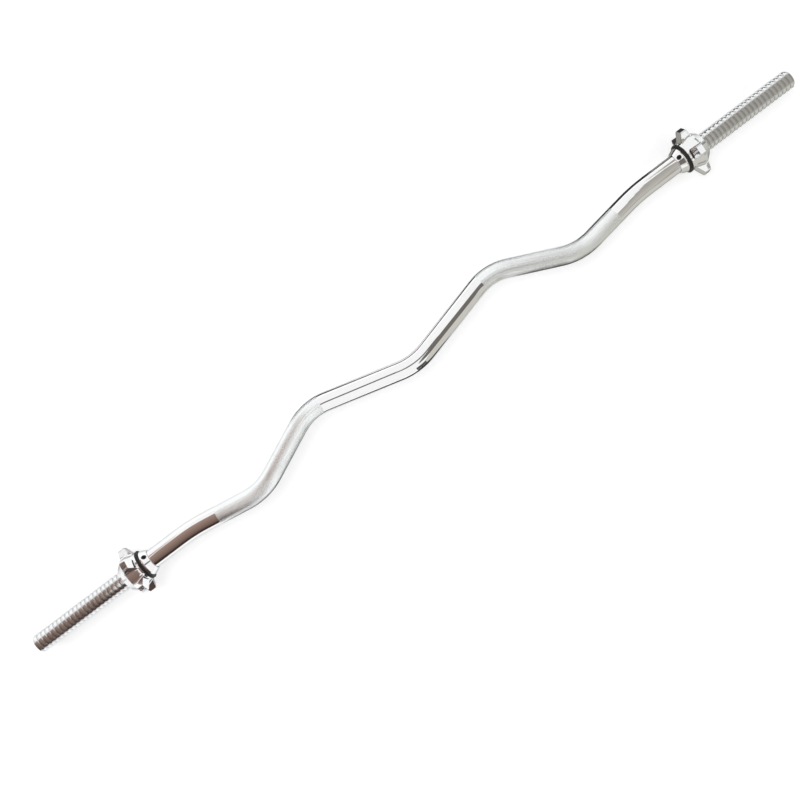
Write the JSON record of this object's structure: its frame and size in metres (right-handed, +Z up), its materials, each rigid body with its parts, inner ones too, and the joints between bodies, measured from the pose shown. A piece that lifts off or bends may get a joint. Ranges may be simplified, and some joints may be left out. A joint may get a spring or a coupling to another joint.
{
  "type": "ez curl bar",
  "caption": "Short chrome barbell bent in a shallow W for angled grips, with threaded ends, fixed stop collars, rubber rings and star-shaped spin-lock nuts that clamp weight plates.",
  "frame": {"origin": "on the floor, under the middle of the bar's box", "axes": "+X along the sleeves to the right end, +Y level, towards the side where the two inner bends stand out, +Z up"},
  "size_m": [1.2, 0.0754, 0.067],
  "materials": {
    "polished_chrome": "polished chrome plate",
    "knurled_chrome": "fine diamond knurl under satin chrome plate",
    "threaded_chrome": "chrome plate over a cut thread",
    "cast_chrome": "chrome-plated casting, slightly uneven",
    "turned_chrome": "chrome-plated turned steel",
    "black_rubber": "matt black rubber",
    "black_steel": "black oxide"
  },
  "bodies": {
    "bar": {"polished_middle": "polished_chrome", "knurled_grip_right": "knurled_chrome", "polished_shoulder_right": "polished_chrome", "threaded_end_right": "threaded_chrome", "stop_collar_right": "turned_chrome", "grub_screw_right": "black_steel", "knurled_grip_left": "knurled_chrome", "polished_shoulder_left": "polished_chrome", "threaded_end_left": "threaded_chrome", "stop_collar_left": "turned_chrome", "grub_screw_left": "black_steel"},
    "ring_right": {"rubber_ring_right": "black_rubber"},
    "nut_right": {"star_nut_right": "cast_chrome"},
    "ring_left": {"rubber_ring_left": "black_rubber"},
    "nut_left": {"star_nut_left": "cast_chrome"}
  },
  "joints": [
    {"name": "nut_right_travel", "type": "slide", "parent": "bar", "child": "ring_right", "axis": [1, 0, 0], "range_m": [0, 0.13971]},
    {"name": "nut_right_turn", "type": "hinge", "parent": "ring_right", "child": "nut_right", "pos_m": [0.4447, -0.00423, 0.0335], "axis": [1, 0, 0], "range_deg": [0, 7920]},
    {"name": "nut_left_travel", "type": "slide", "parent": "bar", "child": "ring_left", "axis": [-1, 0, 0], "range_m": [0, 0.13971]},
    {"name": "nut_left_turn", "type": "hinge", "parent": "ring_left", "child": "nut_left", "pos_m": [-0.4447, -0.00423, 0.0335], "axis": [-1, 0, 0], "range_deg": [0, 7920]}
  ],
  "couplings": [
    {"joint": "nut_right_travel", "follows": "nut_right_turn", "m_per_rad": 0.0010106},
    {"joint": "nut_left_travel", "follows": "nut_left_turn", "m_per_rad": 0.0010106}
  ]
}
